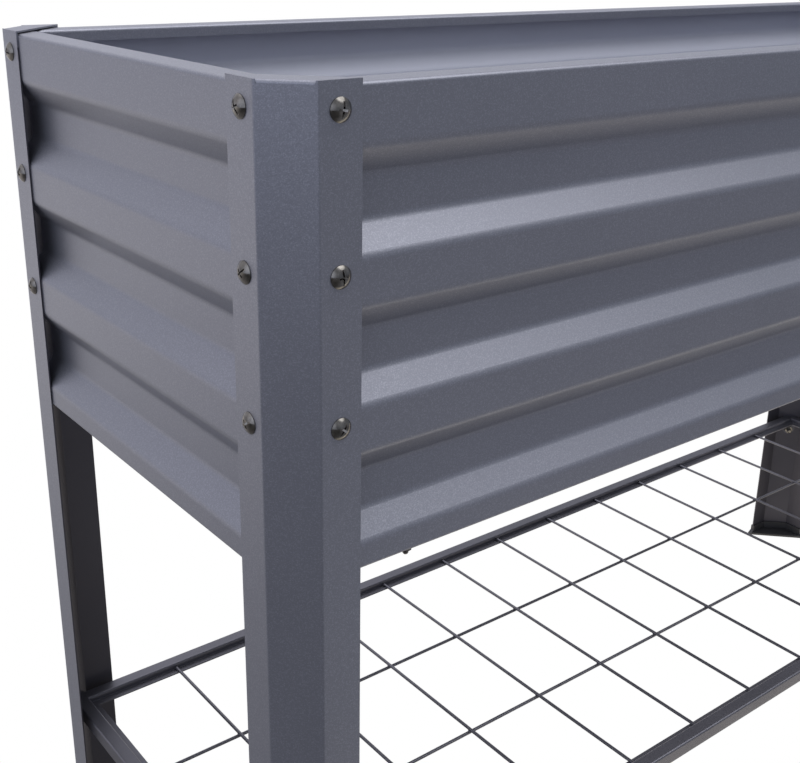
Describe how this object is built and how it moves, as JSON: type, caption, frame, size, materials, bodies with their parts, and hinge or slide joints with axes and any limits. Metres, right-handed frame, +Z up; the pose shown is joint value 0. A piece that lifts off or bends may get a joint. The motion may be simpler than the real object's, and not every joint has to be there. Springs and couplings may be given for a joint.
{
  "type": "raised planter on legs",
  "caption": "Rectangular raised planter: corrugated metal box with rolled rim on folded chamfered corner legs, open wire shelf with stepped rails below, domed cross-slot screws.",
  "frame": {"origin": "middle of the footprint, on the ground", "axes": "+X along the length, +Y across the depth towards the back, +Z up"},
  "size_m": [1.1668, 0.4128, 0.8],
  "materials": {
    "metallic_coat": "blue-grey powder coat with fine metallic flake, semi-gloss",
    "charcoal_coat": "charcoal powder coat, satin",
    "plated_steel": "bright nickel plate, lightly handled",
    "foot_plastic": "moulded, fine texture"
  },
  "bodies": {
    "root": {"leg_front_left": "metallic_coat", "leg_front_right": "metallic_coat", "leg_back_left": "metallic_coat", "leg_back_right": "metallic_coat", "front_panel": "metallic_coat", "back_panel": "metallic_coat", "left_panel": "metallic_coat", "right_panel": "metallic_coat", "base_sheet_left": "metallic_coat", "base_sheet_right": "metallic_coat", "base_crossbar_left": "metallic_coat", "base_crossbar_centre": "metallic_coat", "base_crossbar_right": "metallic_coat", "shelf_corner_plate_front_left": "charcoal_coat", "shelf_corner_plate_front_right": "charcoal_coat", "shelf_corner_plate_back_left": "charcoal_coat", "shelf_corner_plate_back_right": "charcoal_coat", "shelf_rail_front": "charcoal_coat", "shelf_rail_back": "charcoal_coat", "shelf_rail_left": "charcoal_coat", "shelf_rail_right": "charcoal_coat", "shelf_cross_wires": "charcoal_coat", "shelf_long_wire_front": "charcoal_coat", "shelf_long_wire_back": "charcoal_coat", "panel_screws_front_left": "plated_steel", "panel_nuts_front_left": "plated_steel", "panel_screws_front_right": "plated_steel", "panel_nuts_front_right": "plated_steel", "panel_screws_back_left": "plated_steel", "panel_nuts_back_left": "plated_steel", "panel_screws_back_right": "plated_steel", "panel_nuts_back_right": "plated_steel", "base_screws": "plated_steel", "base_nuts": "plated_steel", "shelf_bolts": "plated_steel", "shelf_nuts": "plated_steel", "foot_cap_front_left": "foot_plastic", "foot_cap_front_right": "foot_plastic", "foot_cap_back_left": "foot_plastic", "foot_cap_back_right": "foot_plastic"}
  },
  "joints": []
}
